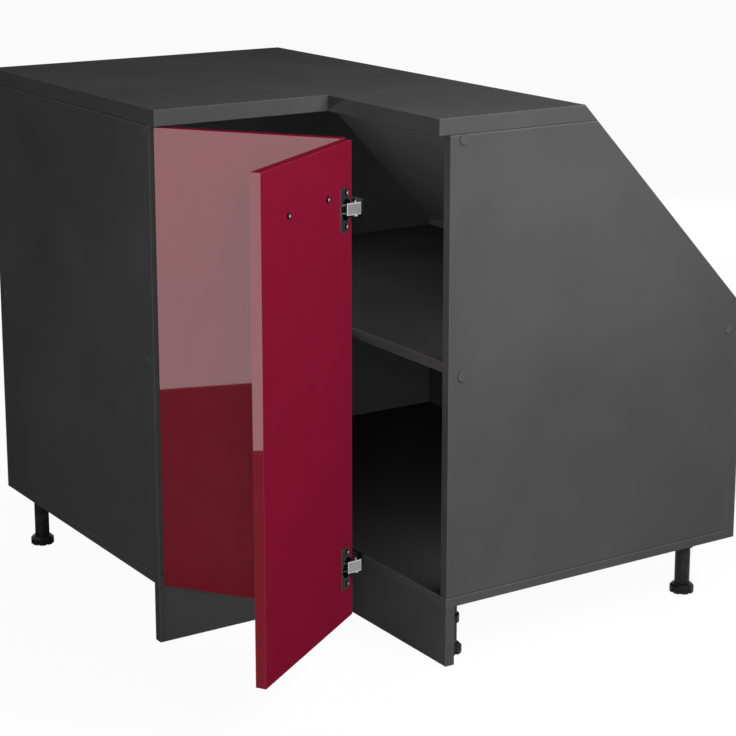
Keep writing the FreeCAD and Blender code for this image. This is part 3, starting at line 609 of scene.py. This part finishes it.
def driveScrews(name, outwards):
    piece = mergedCopy(name)
    tools = placeCutters(piece, outwards)
    loneSelect(piece)
    cut = piece.modifiers.new("crossRecess", "BOOLEAN")
    cut.operation = "DIFFERENCE"
    cut.solver = "EXACT"
    cut.material_mode = "TRANSFER"
    cut.object = tools
    bpy.ops.object.modifier_apply(modifier=cut.name)
    bpy.data.objects.remove(tools)
    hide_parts(name)
    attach(piece, bodyOf[name])


# the ways that the heads in each node may face
low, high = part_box("sloped_back_panel")
slopeOut = Vector((0, high.z - low.z, high.y - low.y)).normalized()
wallward = Vector((0, 1, 0))
downward = Vector((0, 0, -1))
screwWays = {
    "handle_screws": [rightInner],
    "fold_cup_screws": [rightInner],
    "swing_cup_screws": [leftInner],
    "fold_plate_screws": [leftInner],
    "swing_plate_screws": [wallward],
    "leg_screws": [downward],
    "base_screws": [downward],
    "back_panel_screws": [wallward, slopeOut],
}
cutter = makeCutter()
for name, ways in screwWays.items():
    driveScrews(name, ways)
bpy.data.objects.remove(cutter)
print("screw heads cut")


# the pins of the fold hinges: a thin pin through each link, with a round foot under it
linkPin = {
    "reach": 0.026,         # from the hinge line
    "angle": 17.6,
    "radius": 0.0014,
    "footRadius": 0.004,
    "footHeight": 0.0026,
    "above": 0.0016,        # how far the pin stands out over the link
    "sides": 24,
    "round": 0.0004,
    "roundSteps": 2,
    "smoothUnder": 35,      # degrees between two faces
}


def makePin(linkHeight):
    # drawn upwards from the foot, whose top face is the plane z = 0
    bpy.ops.object.select_all(action="DESELECT")
    footHeight = linkPin["footHeight"]
    bpy.ops.mesh.primitive_cylinder_add(vertices=linkPin["sides"], radius=linkPin["footRadius"],
                                        depth=footHeight, location=(0, 0, -footHeight / 2))
    pin = bpy.context.active_object
    applyPlace()
    pickFaces(pin, lambda face: looksTo(face, (0, 0, 1)))
    bpy.ops.mesh.inset(thickness=linkPin["footRadius"] - linkPin["radius"])
    length = linkHeight + linkPin["above"]
    bpy.ops.mesh.extrude_region_move(TRANSFORM_OT_translate={"value": (0, 0, length)})
    bpy.ops.object.mode_set(mode="OBJECT")
    edges = pin.modifiers.new("softRim", "BEVEL")
    edges.width = linkPin["round"]
    edges.segments = linkPin["roundSteps"]
    edges.limit_method = "ANGLE"
    bpy.ops.object.modifier_apply(modifier=edges.name)
    bpy.ops.object.shade_smooth_by_angle(angle=math.radians(linkPin["smoothUnder"]))
    pin.data.materials.append(finishes["link_steel"])
    return pin


foldLine = Vector(next(joint["pos_m"] for joint in frame["joints"] if joint["name"] == "door_fold"))
pinTurn = math.radians(linkPin["angle"])
pinPlace = foldLine + linkPin["reach"] * Vector((math.cos(pinTurn), math.sin(pinTurn), 0))
low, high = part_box("fold_hinge_link_upper")
firstPin = makePin(high.z - low.z)
for level in ("lower", "upper"):
    pin = linkedCopy("fold_hinge_pin_" + level, firstPin.data)
    pin.location = (*pinPlace.xy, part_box("fold_hinge_link_" + level)[0].z)
    loneSelect(pin)
    applyPlace()
    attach(pin, "fold_links")
bpy.data.objects.remove(firstPin)
print("hinge pins made")


# studio
studio = {
    "ambient": 0.12,
    "floorSize": (60, 60),
    "floorHeight": -0.0005,
    "floorTone": 0.85,
    "floorWhite": 0.95,     # the share that is seen as plain white; the rest takes the shadow
}
white = grey(1)


def layPlane(name, place, size):
    bpy.ops.object.select_all(action="DESELECT")
    bpy.ops.mesh.primitive_plane_add(size=1, location=place)
    plane = bpy.context.active_object
    plane.name = name
    plane.scale = (*size, 1)
    applyPlace()
    return plane


def seenRay(tree):
    # one for a ray straight from the camera, off a shiny surface or through glass
    path = addNode(tree, "ShaderNodeLightPath", (-600, 300)).outputs
    either = calc(tree, (-400, 300), "MAXIMUM", path["Is Camera Ray"], path["Is Glossy Ray"])
    return calc(tree, (-200, 300), "MAXIMUM", either, path["Is Transmission Ray"])


def mixShaders(tree, factor, first, second):
    mixed = addNode(tree, "ShaderNodeMixShader", (300, 0), Fac=factor)
    tree.links.new(first.outputs[0], mixed.inputs[1])
    tree.links.new(second.outputs[0], mixed.inputs[2])
    return mixed.outputs[0]


def makeFloor():
    floor = layPlane("studioFloor", (0, 0, studio["floorHeight"]), studio["floorSize"])
    material = bpy.data.materials.new("floorPaint")
    tree = clearTree(material)
    paint = addNode(tree, "ShaderNodeBsdfDiffuse", (0, 100), Color=grey(studio["floorTone"]))
    glow = addNode(tree, "ShaderNodeEmission", (0, -100), Color=white, Strength=1.0)
    share = calc(tree, (0, 300), "MULTIPLY", seenRay(tree), studio["floorWhite"])
    mixed = mixShaders(tree, share, paint, glow)
    addNode(tree, "ShaderNodeOutputMaterial", (600, 0), Surface=mixed)
    floor.data.materials.append(material)


def makeWorld():
    world = bpy.data.worlds.new("studioWorld")
    bpy.context.scene.world = world
    tree = clearTree(world)
    backdrop = addNode(tree, "ShaderNodeBackground", (0, 100), Color=white, Strength=1.0)
    ambient = addNode(tree, "ShaderNodeBackground", (0, -100), Color=white, Strength=studio["ambient"])
    mixed = mixShaders(tree, seenRay(tree), ambient, backdrop)
    addNode(tree, "ShaderNodeOutputWorld", (600, 0), Surface=mixed)


def areaLight(name, settings):
    width, height = settings["size"]
    data = bpy.data.lights.new(name, "AREA")
    data.shape = "RECTANGLE"
    data.size, data.size_y = width, height
    data.energy = settings["level"] * math.pi * width * height  # the same level is as bright at any size
    data.color = settings.get("colour", (1, 1, 1))
    light = bpy.data.objects.new(name, data)
    bpy.context.scene.collection.objects.link(light)
    light.location = settings["place"]
    aim = Vector(settings["target"]) - Vector(settings["place"])
    light.rotation_euler = aim.to_track_quat("-Z", "Y").to_euler()
    light.visible_camera = False
    light.visible_diffuse = settings.get("lights", True)
    light.visible_glossy = settings.get("shines", False)


lamps = {
    "keyLight": {"place": (3.0, -0.5, 2.2), "target": (0.8, -0.4, 0.5), "size": (1.6, 1.6), "level": 2.6},
    "nearLight": {"place": (1.75, -0.25, 1.45), "target": (0.9, -0.3, 0.7), "size": (0.8, 0.8),
                  "level": 11.5},
    "frontFill": {"place": (2.2, -2.6, 1.0), "target": (0.5, -0.4, 0.4), "size": (2.0, 2.0), "level": 1.4},
    "topLight": {"place": (0.5, -0.4, 3.2), "target": (0.5, -0.4, 0.0), "size": (3.0, 3.0), "level": 0.75},
    "viewFill": {"place": (3.0, -2.1, 1.1), "target": (0.6, -0.5, 0.45), "size": (0.6, 0.6),
                 "level": 20.0},
    "rearFill": {"place": (-1.9, 1.9, 1.3), "target": (0.4, -0.4, 0.4), "size": (2.0, 2.0), "level": 3.2},
    # three small lamps stand inside the carcass, where the ones outside hardly reach
    "sideGlow": {"place": (0.872, -0.42, 0.64), "target": (0.0, -0.42, 0.6), "size": (0.24, 0.28),
                 "level": 1.6},
    "slopeGlow": {"place": (0.06, -0.78, 0.545), "target": (1.0, -0.48, 0.62), "size": (0.08, 0.13),
                  "level": 170.0},
    "floorGlow": {"place": (0.872, -0.42, 0.28), "target": (0.0, -0.42, 0.26), "size": (0.24, 0.28),
                  "level": 5.0},
    # a pale panel stands off to the left of the camera, and shows only in the gloss fronts
    "frontPanel": {"place": (0.9, -2.33, 1.6), "target": (0.9, 0.0, 1.6), "size": (3.4, 3.2),
                   "level": 1.6, "colour": (1.0, 0.86, 0.88), "lights": False, "shines": True},
}
makeFloor()
makeWorld()
for name, settings in lamps.items():
    areaLight(name, settings)

# a dark card lies on the floor between the panel and the cabinet, seen only in reflections
darkCard = {"place": (0.9, -1.475, 0.002), "size": (3.4, 1.71), "tone": 0.12}
card = layPlane("darkCard", darkCard["place"], darkCard["size"])
cardPaint, tree, shader = startMaterial("cardPaint")
shader.inputs["Base Color"].default_value = grey(darkCard["tone"])
shader.inputs["Specular IOR Level"].default_value = 0.0
card.data.materials.append(cardPaint)
for ray in ("camera", "diffuse", "transmission", "shadow", "volume_scatter"):
    setattr(card, "visible_" + ray, False)

# camera: the focal length is in pixels of the picture
shot = {
    "place": (3.291, -2.276, 1.273),
    "azimuth": 146.97,
    "pitch": 12.88,
    "focal": 2070.0,
    "pictureWidth": 736,
    "sensor": 36.0,
    "shiftY": -0.12,
}
cameraData = bpy.data.cameras.new("productCamera")
camera = bpy.data.objects.new("productCamera", cameraData)
bpy.context.scene.collection.objects.link(camera)
cameraData.sensor_width = shot["sensor"]
cameraData.lens = shot["sensor"] * shot["focal"] / shot["pictureWidth"]
cameraData.shift_y = shot["shiftY"]
azimuth, pitch = math.radians(shot["azimuth"]), math.radians(shot["pitch"])
forward = Vector((math.cos(azimuth) * math.cos(pitch), math.sin(azimuth) * math.cos(pitch),
                  -math.sin(pitch)))
camera.location = shot["place"]
camera.rotation_euler = forward.to_track_quat("-Z", "Y").to_euler()
bpy.context.scene.camera = camera
bpy.context.scene.view_settings.view_transform = "Standard"
print("studio ready")
